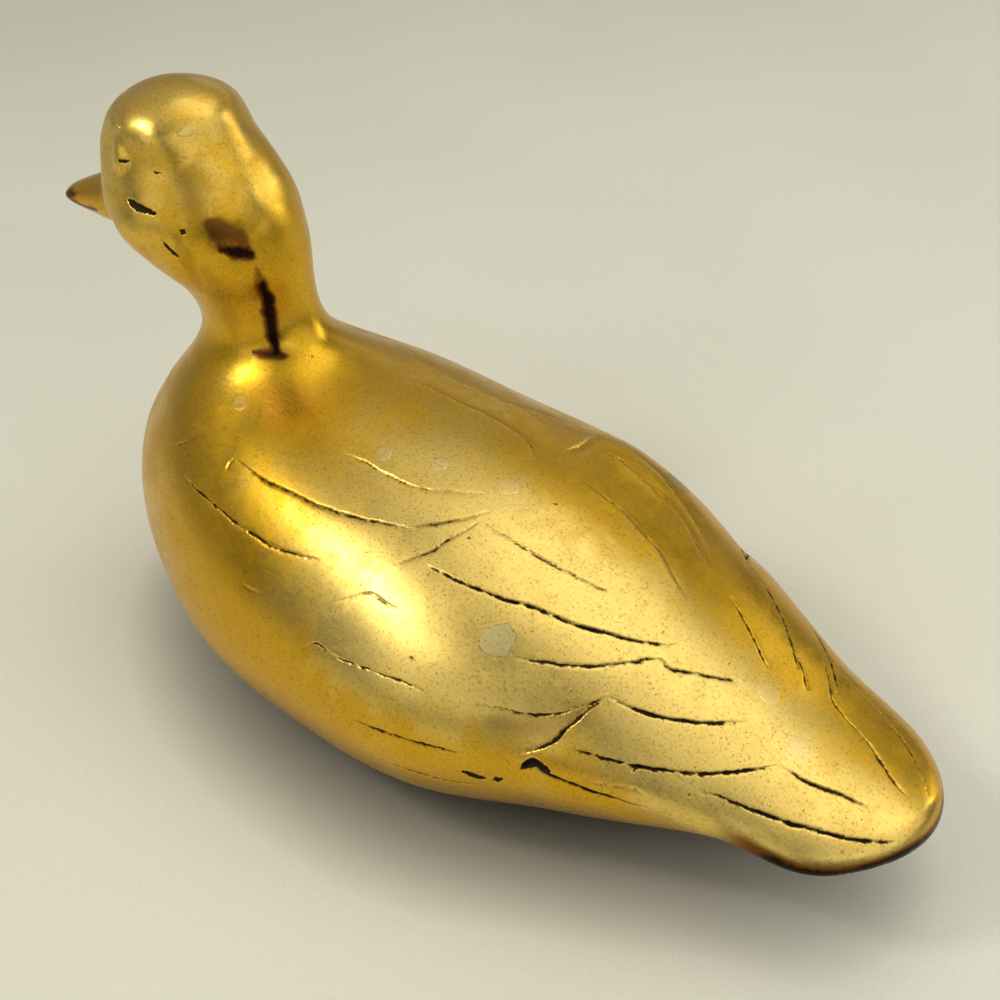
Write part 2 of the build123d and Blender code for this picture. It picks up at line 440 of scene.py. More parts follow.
# Engraved lines, in pixels of the photograph. Each has the depth of its cut, the step between its two
# sides and which side stands higher: 1 for the side on the left of the way it is drawn, -1 for the other.
left_lines = {
    "breast_crease": (((168, 447), (187, 440), (206, 431)), 0.25, 0.07, 1),
    "fore_wing": (((181, 474), (204, 496), (222, 511), (242, 527), (261, 539), (280, 549), (299, 555),
        (319, 560)), 0.35, 0.11, 1),
    "scapular_hook": (((227, 471), (229, 463), (234, 458)), 0.25, 0.05, 1),
    "scapular": (((234, 458), (263, 479), (288, 491), (314, 503), (347, 514), (375, 521), (408, 526),
        (436, 523), (462, 518), (491, 510)), 0.30, 0.16, 1),
    "upper_scapular": (((334, 448), (360, 459), (385, 473), (405, 482), (431, 489), (456, 491), (485, 493)),
        0.20, 0.16, 1),
    "scapular_edge": (((398, 562), (411, 559), (426, 553), (444, 541), (464, 530), (478, 521)),
        0.35, 0.11, 1),
    "tertial": (((482, 521), (495, 530), (511, 538), (538, 556), (574, 575), (599, 587), (620, 594)),
        0.30, 0.09, 1),
    "wing_edge": (((426, 564), (446, 574), (469, 584), (490, 593), (513, 601), (533, 607), (556, 616),
        (579, 625), (602, 631), (625, 637), (650, 642), (673, 644), (684, 641)), 0.60, 0.18, 1),
    "secondary": (((513, 658), (543, 661), (569, 664), (592, 666), (610, 664), (630, 661), (650, 659),
        (662, 660), (668, 666), (691, 671), (717, 677), (742, 680)), 0.45, 0.12, 1),
    "highlight_tick": (((335, 601), (349, 598), (371, 593), (383, 601), (403, 612)), 0.22, 0.05, 1),
    "flank_high": (((300, 649), (315, 643), (329, 653), (352, 663), (376, 672), (405, 683), (424, 692)),
        0.42, 0.07, 1),
    "flank_edge": (((472, 705), (495, 707), (516, 712), (555, 714), (574, 708), (593, 702), (607, 695),
        (618, 689)), 0.40, 0.15, 1),
    "wing_rear": (((518, 755), (542, 749), (555, 742), (568, 729), (581, 717), (597, 705), (607, 697)),
        0.50, 0.12, -1),
    "covert": (((609, 697), (622, 703), (638, 709), (655, 715), (676, 719), (699, 721), (724, 722),
        (750, 721)), 0.55, 0.18, 1),
    "primary": (((569, 747), (575, 750), (598, 756), (621, 762), (644, 767), (670, 770), (700, 773),
        (726, 772), (751, 769), (779, 765)), 0.70, 0.18, 1),
    "primary_tip": (((779, 765), (797, 775), (815, 784), (835, 791), (853, 800), (871, 809)), 0.40, 0.14, 1),
    "primary_hook": (((631, 772), (637, 768), (644, 767)), 0.35, 0.05, 1),
    "tail_feather": (((700, 793), (718, 795), (739, 804), (764, 813), (790, 822), (815, 829), (841, 836),
        (866, 840), (897, 842)), 0.60, 0.20, 1),
    "rump_slit": (((520, 770), (530, 763), (542, 770), (556, 777), (573, 784), (590, 791), (607, 796),
        (626, 803), (649, 810)), 0.90, 0.23, 1),
    "rump_fold": (((553, 771), (590, 783), (640, 792), (654, 801), (682, 817)), 0.15, 0.20, 1),
    "flank_low": (((350, 719), (376, 729), (405, 739), (429, 746), (452, 752), (467, 754)), 0.36, 0.05, 1),
    "flank_lower": (((382, 761), (420, 774), (452, 783), (484, 786)), 0.32, 0.05, 1),
    "flank_lowest": (((508, 803), (552, 807), (581, 810)), 0.22, 0.05, 1),
    "breast_low": (((191, 601), (212, 619), (237, 634)), 0.22, 0.05, 1),
    "breast_high": (((240, 583), (250, 589), (260, 593)), 0.15, 0.04, 1),
}
right_lines = {
    "upper_scapular": (((408, 382), (426, 387), (447, 397), (463, 405), (484, 414), (504, 425), (520, 435),
        (531, 445), (537, 459)), 0.26, 0.90, -1),
    "scapular": (((408, 356), (440, 372), (460, 383), (500, 400), (532, 416), (552, 430), (561, 440)),
        0.26, 0.90, -1),
    "scapular_low": (((504, 402), (540, 412), (568, 424), (586, 434)), 0.20, 0.40, -1),
    "scapular_edge": (((562, 462), (567, 451), (580, 446), (590, 441), (602, 438)), 0.16, 0.50, 1),
    "wing_outer": (((614, 448), (644, 471), (676, 502), (698, 528), (714, 556)), 0.20, 0.40, -1),
    "wing_edge": (((589, 449), (610, 459), (635, 477), (655, 495), (673, 510), (689, 530), (701, 551),
        (713, 571)), 0.26, 0.65, -1),
    "tertial": (((580, 477), (602, 495), (625, 513), (638, 527), (653, 543), (668, 566), (686, 597)),
        0.26, 0.55, -1),
    "secondary": (((731, 596), (742, 615), (751, 632), (761, 652), (771, 672)), 0.40, 0.16, -1),
    "covert": (((796, 653), (803, 670), (808, 690)), 0.35, 0.14, -1),
    "primary": (((823, 658), (831, 686), (833, 700), (843, 714), (856, 728), (871, 746), (882, 764),
        (894, 781), (907, 796)), 0.35, 0.16, -1),
    "tail_feather": (((819, 653), (843, 671), (859, 690), (876, 706), (892, 726), (909, 749), (921, 773),
        (929, 796)), 0.30, 0.16, -1),
}
# Left lines that the right side repeats where the photograph doesn't show it
repeated_lines = ("breast_crease", "fore_wing", "highlight_tick", "flank_high", "flank_edge", "wing_rear",
                  "covert", "primary", "rump_slit", "rump_fold", "flank_low", "flank_lower",
                  "flank_lowest", "breast_low", "breast_high")

# Forms that are softer than a line: ridges and hollows, with their height, half their width and whether
# the other side has them too
head_marks = {
    "brow": (((108, 128), (128, 133), (143, 138), (160, 145), (178, 156), (192, 165)), 1.5, 4.4, True),
    "socket": (((112, 146), (128, 150), (146, 158), (160, 170), (172, 186)), -0.40, 4.0, True),
    "forehead": (((124, 100), (115, 110), (109, 124), (107, 140), (108, 154)), 0.8, 6.0, True),
    "jowl": (((112, 208), (120, 222), (136, 240), (154, 256)), 1.0, 5.0, True),
    "eye_lid": (((113, 139), (118, 146), (125, 155)), 0.35, 1.4, True),
    "eye_crease": (((115, 161), (127, 161)), -0.25, 0.28, True),
    "eye_corner": (((152, 170), (157, 173), (162, 173)), -0.15, 0.22, True),
    "nape_crest": (((252, 128), (268, 154), (282, 178), (292, 206)), 0.8, 6.0, True),
    "cheek_slit": (((128, 200), (136, 206), (145, 210), (153, 213)), -0.5, 0.55, False),
    "throat_scratch": (((164, 243), (171, 251), (179, 257)), -0.30, 0.30, False),
    "cheek_pit": (((181, 231), (184, 233)), -0.3, 0.40, False),
}
body_marks = {
    "slit_mouth": (((521, 769), (532, 764), (548, 771)), -0.8, 0.62, False),
    "flank_valley": (((462, 722), (505, 736), (550, 730), (597, 704)), -0.60, 4.8, True),
    "rump_valley": (((600, 808), (660, 822), (720, 850)), -0.5, 3.0, True),
    "pit_row": (((464, 773), (474, 777), (483, 779)), -0.40, 0.50, False),
    "pit_pair": (((494, 781), (500, 780)), -0.35, 0.40, False),
    "far_shoulder": (((562, 417), (598, 437), (632, 459), (664, 484), (692, 512), (712, 542)),
        1.9, 7.0, False),
}

# Dark marks painted on the smooth metal, each with its depth of tone and half its width: painted dark
# reflections, painted shade and darker patches
tarnish_and_painted_shade_marks = {
    # Painted dark reflections on the throat and down the neck, with darker patches among them
    "throat": (((210, 224), (226, 232), (242, 240)), 0.55, 3.0),
    "throat_bar": (((222, 250), (238, 252), (250, 255)), 1.0, 1.6),
    "neck_top": (((258, 272), (264, 300)), 0.50, 1.6),
    "neck_streak": (((263, 284), (267, 300), (272, 328), (276, 352)), 1.0, 1.4),
    "neck_mottle": (((206, 272), (222, 300), (234, 335)), 0.24, 3.6),
    "neck_foot": (((254, 352), (284, 356)), 0.8, 1.1),
    "nape_left": (((176, 238), (190, 268), (200, 290)), 0.24, 1.8),
    # Painted shade in the wing's hollow
    "wing_hollow": (((490, 722), (545, 730), (590, 708)), 0.22, 3.5),
    # Darker marks on the bill's tip and edge
    "bill_tip": (((66, 194), (72, 194)), 0.75, 1.6),
    "bill_edge": (((72, 202), (84, 207), (96, 211)), 0.9, 0.5),
    "bill": (((80, 192), (94, 190)), 0.12, 4.0),
}

# Plugs of the chaplets: their radius, how uneven their outline is, how dark its seam, and their height
# as a share of their width
chaplets = {
    "chaplet_left_wing": (3.1, 0.17, 0.42, 1.0),
    "chaplet_right_wing": (3.1, 0.17, 0.42, 1.0),
    "chaplet_back": (2.2, 0.05, 0.15, 1.0),
    "chaplet_left_mantle_front": (1.8, 0.08, 0.25, 1.0),
    "chaplet_left_mantle_rear": (1.8, 0.08, 0.25, 1.0),
    "chaplet_left_shoulder": (1.8, 0.10, 0.10, 1.0),
    "chaplet_right_shoulder": (1.8, 0.10, 0.10, 1.0),
    "chaplet_rump": (2.2, 0.06, 0.08, 1.0),
    "chaplet_left_tail": (2.2, 0.06, 0.08, 1.0),
    "chaplet_crown": (1.9, 0.12, 0.04, 0.5),
}

# Layers of smooth noise, each with its height, the size of its bumps and its seed
mottle_layers = ((0.45, 2.4, 11), (0.25, 0.9, 12))
ragged_layers = ((0.11, 0.45, 3), (0.17, 2.1, 4))
depth_layers = ((0.50, 1.2, 7), (0.35, 5.0, 5))
filing_layers = ((0.16, 21.0, 1), (0.04, 8.0, 2), (0.006, 2.2, 6))

# Lamps stand where the photograph's highlights are reflected from: the angle round Z from +X, the angle
# above the floor, the distance, the width, the depth and the power of each
lamps = {
    "key": (54, 50, 750, 130, 130, 1.15),
    "key_wide": (76, 44, 750, 260, 160, 0.50),
    "cheek_panel": (94, 20, 950, 850, 420, 0.95),
    "side_panel": (146, 30, 950, 420, 260, 0.42),
    "window": (-172, 37, 950, 1050, 950, 2.85),
    "overhead": (-115, 72, 950, 750, 750, 2.3),
    "far_strip": (-70, 22, 950, 900, 160, 0.20),
    "nape_strip": (-120, 20, 950, 220, 400, 1.0),
}

# Each material slot's brass: pale where a painted sheen falls (on the plate, in random patches), darker, and
# stained, with its roughness
brasses = {
    "cast_brass": ((0.79, 0.565, 0.145), (0.66, 0.375, 0.020), (0.30, 0.165, 0.015), 0.30),
    "braze": ((0.79, 0.565, 0.15), (0.67, 0.385, 0.026), (0.30, 0.165, 0.015), 0.31),
    "chaplet_brass": ((0.79, 0.58, 0.19), (0.60, 0.37, 0.06), (0.32, 0.20, 0.05), 0.34),
    "chaplet_iron": ((0.56, 0.45, 0.18), (0.47, 0.36, 0.11), (0.26, 0.20, 0.07), 0.42),
    "plate_brass": ((0.72, 0.54, 0.24), (0.56, 0.38, 0.13), (0.30, 0.20, 0.08), 0.38),
}

# Noises in the brass, each with the size of its patches, its detail, its roughness and its distortion
broad_noise = (38.0, 2.0)
cloud_noise = (7.0, 5.0, 0.62, 0.4)
grain_noise = (0.55, 4.0, 0.7)
dent_noise = (1.7, 3.0)
# Pits in the brass: how far apart they lie, how large they are, and the share of them that shows
fine_pits = (0.42, 0.15, 0.30)
large_pits = (3.4, 0.46, 0.12)
# How deep the dents, the grain, the scratches and the pits look
bump_depths = (0.012, 0.012, 0.004, 0.09)

# Colours of tarnish and painted shade, dirt, floor and room
brown_tarnish_and_shade = (0.22, 0.085, 0.015)
black_tarnish_and_shade = (0.018, 0.009, 0.004)
groove_dirt = (0.030, 0.017, 0.006)
floor_colours = ((0.795, 0.772, 0.623), (0.768, 0.745, 0.596))
floor_speck = (0.56, 0.54, 0.43)
room_colour = (1.0, 0.98, 0.90)
background_strength = 0.62

# Pale sides of the dark room, by their angles as above, the cosines of the angle to them at which their
# light begins and is full, and their strength
room_sides = ((-20, 15, -0.50, 0.75, 0.29), (0, 90, 0.25, 0.95, 0.22))

# Zones of the duck: where a zone begins and how far on it is full, in millimetres or, for a slope, in the
# height of the outward direction
# The tail rim and belly zones say where painted shade goes
tail_rim_slope = (0.56, -0.30)
tail_rim_zone = (-78, -12)
belly_slope = (-0.62, -0.30)
belly_zone = (45, -10)
# The sheen zones say where the brass is painted paler, as a painted sheen
sheen_side = (-10, 18)
sheen_rear = (12, -30)
sheen_head = (88, 10)
filed_zone = (1, 6)
# Points lower than this belong to the ground face
ground_height = 0.3
# Marks narrower than this are cuts with a ragged outline
narrow_mark = 1.0


def lengths_along(points):
    return np.concatenate([[0.0], np.cumsum(np.linalg.norm(np.diff(points, axis=0), axis=1))])


def traced(pixels, tree):
    """Evenly spaced points of the skin behind a line of the photograph's pixels."""
    pixel_step = 2
    fewest = 4
    pixels = np.array(pixels, float)
    lengths = lengths_along(pixels)
    places = np.linspace(0, lengths[-1], max(fewest, int(lengths[-1] / pixel_step)))
    columns = curve(lengths, pixels[:, 0])(places)
    rows = curve(lengths, pixels[:, 1])(places)
    hits = []
    for column, row in zip(columns, rows):
        ray = camera_forward * camera_focus_pixels + camera_right * (column - picture_pixels / 2)
        ray = ray + camera_up * (picture_pixels / 2 - row)
        hit = tree.ray_cast(Vector(camera_place), Vector(ray))[0]
        if hit is not None:
            hits.append(hit)
    hits = seated(np.array(hits))
    lengths = lengths_along(hits)
    places = np.linspace(0, lengths[-1], max(fewest, int(lengths[-1] / line_step)))
    return seated(np.stack([np.interp(places, lengths, hits[:, axis]) for axis in range(3)], -1))


def mirrored(points, about_head):
    flip = np.array((1, -1, 1))
    return seated(from_head(to_head(points) * flip) if about_head else points * flip)


class Line:
    """A traced line with what the carving needs of it. Its gain fades towards both ends."""

    soft_taper_share = 0.42
    taper_share = 0.45
    longest_taper = 10.0
    bluntness = 0.7

    def __init__(self, points, depth, step, raised, soft=False):
        self.points = points
        self.depth = depth
        self.step = step
        self.outward = skin(points)[1]
        self.forward = unit(np.gradient(points, axis=0))
        self.side = unit(np.cross(self.outward, self.forward)) * raised
        travel = lengths_along(points)
        length = travel[-1]
        taper = self.soft_taper_share * length if soft else min(self.longest_taper, self.taper_share * length)
        ends = np.clip(np.minimum(travel, length - travel) / taper, 0, 1)
        self.gain = ends * ends * (3 - 2 * ends) if soft else ends ** self.bluntness
        self.gain_slope = np.gradient(self.gain, travel)


def beside(points, line, reach):
    """Points near a line, with how far each lies across it, the line's gain there and their distance."""
    chunk = 24
    nearest = np.full(len(points), np.inf)
    index = np.zeros(len(points), dtype=int)
    for first in range(0, len(line.points), chunk):
        part = line.points[first:first + chunk + 1]
        inside = (points > part.min(axis=0) - reach) & (points < part.max(axis=0) + reach)
        picked = np.flatnonzero(inside.all(axis=1))
        if not len(picked):
            continue
        gaps = np.linalg.norm(points[picked, None] - part[None], axis=2)
        best = gaps.argmin(axis=1)
        gap = gaps[np.arange(len(picked)), best]
        better = gap < nearest[picked]
        nearest[picked[better]] = gap[better]
        index[picked[better]] = first + best[better]
    picked = np.flatnonzero(nearest < reach)
    index = index[picked]
    away = points[picked] - line.points[index]
    across = (away * line.side[index]).sum(axis=1)
    along = (away * line.forward[index]).sum(axis=1)
    between = np.clip(along, -line_step / 2, line_step / 2)
    distance = np.sqrt(np.maximum(nearest[picked] ** 2 - 2 * along * between + between ** 2, 0))
    gain = np.clip(line.gain[index] + line.gain_slope[index] * between, 0, 1)
    return picked, across, gain, distance


def tarnish_and_painted_shade(points, tree):
    """How dark each point is painted: tarnish, painted dark reflections and painted shade."""
    reach = 2.5
    end_share = 0.45
    core, falloff = 1.6, 1.2
    soft_radius = 3
    belly_shade_tone = 0.60
    mottle_lift, least_mottle = 0.2, 0.6
    tone = np.zeros(len(points))
    mottle = waves(points, mottle_layers, 1.0)
    # Along the traced marks: painted dark reflections, painted shade and darker patches
    for pixels, dark, radius in tarnish_and_painted_shade_marks.values():
        line = Line(traced(pixels, tree), 0, 0, 1)
        picked, _, gain, distance = beside(points, line, reach * radius)
        distance = distance / (end_share + (1 - end_share) * gain)
        spread = np.clip(core - falloff * (distance / radius) * mottle[picked], 0, 1)
        if radius > soft_radius:
            spread = bell(distance, radius)
        raise_to(tone, picked, dark * spread)
    level = skin(points)[1][:, 2]
    # Painted shade on the tail's rim and underside, where the surface doesn't face up
    rim = rise(level, *tail_rim_slope) * rise(points[:, 0], *tail_rim_zone)
    # Painted shade on low surfaces that face down, away from the ground face
    belly_shade = belly_shade_tone * rise(level, *belly_slope) * rise(points[:, 2], *belly_zone)
    belly_shade *= points[:, 2] > ground_height
    return np.maximum(tone, np.maximum(rim, belly_shade) * np.clip(mottle + mottle_lift, least_mottle, 1))


def step_tones(points, lines):
    """How dark the low side of each high step is painted, as painted shade, and how pale its crest, as a
    painted highlight.
    """
    least_step = 0.3
    reach = 4.0
    low_shade_tone, low_middle, low_width = 0.24, -0.9, 0.9
    crest_highlight_tone, crest_middle, crest_width = 0.8, 0.35, 0.35
    low, crest_highlight = np.zeros(len(points)), np.zeros(len(points))
    for line in lines:
        if line.step < least_step:
            continue
        picked, across, gain, _ = beside(points, line, reach)
        # Painted shade below each step and a painted highlight on its crest
        raise_to(low, picked, low_shade_tone * gain * bell(across, low_width, low_middle))
        raise_to(crest_highlight, picked, crest_highlight_tone * gain * bell(across, crest_width, crest_middle))
    return low, crest_highlight


def carve(points, lines, marks):
    """How far each point is raised along its outward direction, and how much dirt lies there."""
    steep, gentle, gentle_power = 0.15, 0.34, 1.4
    roll = 2.2
    end_square = 2.0
    reach, mark_reach = 7.0, 3
    groove_middle, groove_width, width_per_depth = -0.05, 0.102, 0.204
    smear_share, smear_middle, smear_width = 0.50, -0.38, 0.26
    stain_per_depth, most_stain, stain_per_gain = 2.2, 1.1, 1.3
    thin_end, mark_raggedness, mark_spread = 0.35, 1.6, 1.4
    mark_stain, mark_clear = 3.0, 0.5
    height = np.zeros(len(points))
    dirt = np.zeros(len(points))
    ragged = waves(points, ragged_layers)
    uneven = waves(points, depth_layers, 0.74)
    for line in lines:
        picked, across, gain, distance = beside(points, line, reach)
        across = across + ragged[picked]
        beyond = np.exp(-np.maximum(distance ** 2 - across ** 2, 0) / end_square)
        gain = gain * beyond
        gentle_side = np.exp(-np.abs(across / gentle) ** gentle_power)
        cut = np.where(across > 0, bell(across, steep), gentle_side)
        lift = 0.5 * np.tanh(across / gentle) * np.exp(-np.abs(across) / roll)
        height[picked] += gain * (line.step * lift - line.depth * uneven[picked] * cut)
        width = groove_width + width_per_depth * line.depth
        stain = bell(across, width, groove_middle) + smear_share * bell(across, smear_width, smear_middle)
        stain *= np.clip(line.depth * stain_per_depth, 0, most_stain) * uneven[picked]
        raise_to(dirt, picked, stain * np.clip(gain * stain_per_gain, 0, 1))
    for line, radius in marks:
        picked, _, gain, distance = beside(points, line, mark_reach * radius)
        if radius < narrow_mark:
            distance = np.maximum(distance + mark_raggedness * ragged[picked], 0)
            distance = distance / (thin_end + (1 - thin_end) * gain)
            gain = 1.0
        height[picked] += line.step * bell(distance, radius) * gain
        if line.depth:
            spread = bell(distance, mark_spread * radius) * gain
            raise_to(dirt, picked, np.clip(mark_stain * spread - mark_clear, 0, 1))
    return height, dirt


def all_lines(tree):
    """Engraved lines of both sides, and the softer marks with their radii."""
    lines = []
    for name, (pixels, depth, step, raised) in left_lines.items():
        points = traced(pixels, tree)
        lines.append(Line(points, depth, step, raised))
        if name in repeated_lines:
            lines.append(Line(mirrored(points, False), depth, step, -raised))
    for pixels, depth, step, raised in right_lines.values():
        lines.append(Line(traced(pixels, tree), depth, step, raised))
    marks = []
    for about_head, table in ((True, head_marks), (False, body_marks)):
        for pixels, height, radius, both in table.values():
            points = traced(pixels, tree)
            dirty = height < 0 and radius < narrow_mark
            soft = radius > narrow_mark
            marks.append((Line(points, dirty, height, 1, soft), radius))
            if both:
                marks.append((Line(mirrored(points, about_head), dirty, height, 1, soft), radius))
    return lines, marks


def unevenness(points):
    """Slight waves that filing and polishing by hand leave, none at the ground face."""
    filed_away = 0.12
    return (waves(points, filing_layers) - filed_away) * rise(points[:, 2], *filed_zone)


def normals(points, triangles):
    """Outward direction of each point of a mesh."""
    a, b, c = (points[triangles[:, corner]] for corner in range(3))
    face = np.cross(b - a, c - a)
    total = np.zeros_like(points)
    for corner, axis in product(range(3), range(3)):
        total[:, axis] += np.bincount(triangles[:, corner], face[:, axis], len(points))
    return unit(total)


def painted_sheen(points):
    """Where the brass is painted paler, as a painted sheen: the left wing and the tail, and less on the head.
    """
    flank_height, flank_fade = 30, 12
    tail_start, tail_fade, most_tail = -56, 16, 2
    head_share = 0.50
    x, y, z = points.T
    tail = np.clip((tail_start - x) / tail_fade, 0, most_tail)
    flank = np.clip((z - flank_height) / flank_fade + tail, 0, 1)
    side = rise(y, *sheen_side) * rise(x, *sheen_rear)
    return np.clip(side * flank + head_share * rise(z, *sheen_head), 0, 1)


def rebate(points, triangles, values):
    """Oval recess in the ground face for the belly plate and its seam."""
    half_length, half_width = seam_high[:2]
    depth = seam_high[2]
    place = np.hypot(points[:, 0] / half_length, points[:, 1] / half_width)
    low = points[:, 2] < ground_height
    centre = points[triangles].mean(axis=1)
    inside = np.hypot(centre[:, 0] / half_length, centre[:, 1] / half_width) < 1
    inside &= low[triangles].all(axis=1)
    gone = triangles[inside]
    triangles = triangles[~inside]
    rim = border(gone)
    near = np.unique(rim)
    points = points.copy()
    points[near, :2] /= place[near, None]
    lifted = np.full(len(points), -1)
    lifted[near] = len(points) + np.arange(len(near))
    raised = points[near].copy()
    raised[:, 2] = depth
    centre = len(points) + len(near)
    points = np.concatenate([points, raised, [[0, 0, depth]]])
    values = np.concatenate([values, values[near], values[:1]])
    start, end = rim.T
    walls = [(start, end, lifted[end]), (start, lifted[end], lifted[start])]
    roof = (lifted[start], lifted[end], np.full(len(start), centre))
    faces = [np.stack(face, -1) for face in (*walls, roof)]
    return points, np.concatenate([triangles, *faces]), values


def border(triangles):
    """Directed edges that only one of the triangles has."""
    edges = triangles[:, [0, 1, 1, 2, 2, 0]].reshape(-1, 2)
    size = triangles.max() + 1
    keys = edges[:, 0] * size + edges[:, 1]
    return edges[~np.isin(keys, edges[:, 1] * size + edges[:, 0])]


def capped(points, triangles, values):
    """A level-cut piece with its openings closed by flat fans."""
    digits = 4
    nearly = 0.001
    used, index = np.unique(triangles, return_inverse=True)
    points = points[used]
    values = values[used]
    triangles = index.reshape(-1, 3)
    rim = border(triangles)
    for height in np.unique(np.round(points[rim[:, 0], 2], digits)):
        ring = rim[np.abs(points[rim[:, 0], 2] - height) < nearly]
        centre = len(points)
        points = np.concatenate([points, [points[ring[:, 0]].mean(axis=0)]])
        values = np.concatenate([values, values[:1]])
        fan = np.stack([ring[:, 1], ring[:, 0], np.full(len(ring), centre)], -1)
        triangles = np.concatenate([triangles, fan])
    return points, triangles, values


def make_mesh(name, points, triangles, values):
    """Mesh with its points' values: dirt, painted sheen, tarnish with painted shade and, if they are given,
    outward directions.
    """
    layers = ("dirt", "painted_sheen", "tarnish_and_painted_shade")
    sharp_degrees = 60
    has_normals = values.shape[1] > len(layers)
    mesh = bpy.data.meshes.new(name)
    mesh.vertices.add(len(points))
    mesh.vertices.foreach_set("co", (points * MM).astype(np.float32).ravel())
    mesh.loops.add(3 * len(triangles))
    mesh.loops.foreach_set("vertex_index", triangles.astype(np.int32).ravel())
    mesh.polygons.add(len(triangles))
    mesh.polygons.foreach_set("loop_start", np.arange(0, 3 * len(triangles), 3, dtype=np.int32))
    mesh.update(calc_edges=True)
    mesh.validate()
    mesh.shade_smooth()
    if not has_normals:
        mesh.set_sharp_from_angle(angle=radians(sharp_degrees))
    for column, layer in enumerate(layers):
        data = mesh.attributes.new(layer, "FLOAT", "POINT").data
        data.foreach_set("value", np.ascontiguousarray(values[:, column], dtype=np.float32))
    if has_normals:
        mesh.normals_split_custom_set_from_vertices(unit(values[:, len(layers):]).astype(np.float32))
    return mesh


def make_piece(name, mesh, material, slot, *nodes):
    piece = placed(name, mesh)
    mesh.materials.append(material)
    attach(piece, "root")
    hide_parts(*nodes)
    return piece


class Nodes:
    """Node tree built up a node at a time. An input is a number, a colour or another node's output."""

    def __init__(self, tree, coordinates):
        self.tree = tree
        self.place = self.add("ShaderNodeTexCoord", {}).outputs[coordinates]

    def link(self, node, inputs):
        for key, value in inputs.items():
            socket = node.inputs[key]
            if isinstance(value, bpy.types.NodeSocket):
                self.tree.links.new(value, socket)
            elif isinstance(value, tuple) and len(value) == 3 and socket.type == "RGBA":
                socket.default_value = (*value, 1.0)
            else:
                socket.default_value = value

    def add(self, kind, inputs, **settings):
        node = self.tree.nodes.new(kind)
        for key, value in settings.items():
            setattr(node, key, value)
        self.link(node, inputs)
        return node

    def ramp(self, value, low, high, start=0.0, end=1.0):
        """From start to end while the value goes from low to high."""
        inputs = {"Value": value, "From Min": low, "From Max": high, "To Min": start, "To Max": end}
        return self.add("ShaderNodeMapRange", inputs, interpolation_type="SMOOTHSTEP").outputs["Result"]

    def calculate(self, kind, first, second):
        return self.add("ShaderNodeMath", {0: first, 1: second}, operation=kind).outputs[0]

    plus = partialmethod(calculate, "ADD")
    minus = partialmethod(calculate, "SUBTRACT")
    times = partialmethod(calculate, "MULTIPLY")
    greater = partialmethod(calculate, "MAXIMUM")


class Shader(Nodes):
    """Node material with the parts that brass and floor are made of."""

    def __init__(self, name):
        self.material = bpy.data.materials.new(name)
        self.material.use_nodes = True
        super().__init__(self.material.node_tree, "Object")
        self.surface = self.tree.nodes["Principled BSDF"]

    def noise(self, size, detail=3.0, roughness=0.55, distortion=0.0):
        inputs = {"Vector": self.place, "Scale": 1 / (size * MM), "Detail": detail, "Roughness": roughness,
                  "Distortion": distortion}
        return self.add("ShaderNodeTexNoise", inputs).outputs["Fac"]

    def mix(self, share, first, second):
        node = self.add("ShaderNodeMix", {0: share}, data_type="RGBA")
        self.link(node, {6: first, 7: second})
        return node.outputs[2]

    def bump(self, height, distance, strength=1.0, under=None):
        inputs = {"Height": height, "Distance": distance * MM, "Strength": strength}
        if under is not None:
            inputs["Normal"] = under
        return self.add("ShaderNodeBump", inputs).outputs["Normal"]

    def attribute(self, name):
        return self.add("ShaderNodeAttribute", {}, attribute_name=name).outputs["Fac"]

    def pits(self, spacing, size, share):
        """Round pits of uneven size, of which only a share shows."""
        edge_share = 0.35
        inputs = {"Vector": self.place, "Scale": 1 / (spacing * MM), "Randomness": 1.0}
        cells = self.add("ShaderNodeTexVoronoi", inputs, feature="F1")
        pick = self.add("ShaderNodeSeparateColor", {0: cells.outputs["Color"]}).outputs[0]
        radius = self.ramp(pick, 1 - share, 1.0, 0.0, size / spacing)
        edge = self.minus(radius, cells.outputs["Distance"])
        return self.ramp(edge, 0.0, edge_share * size / spacing)


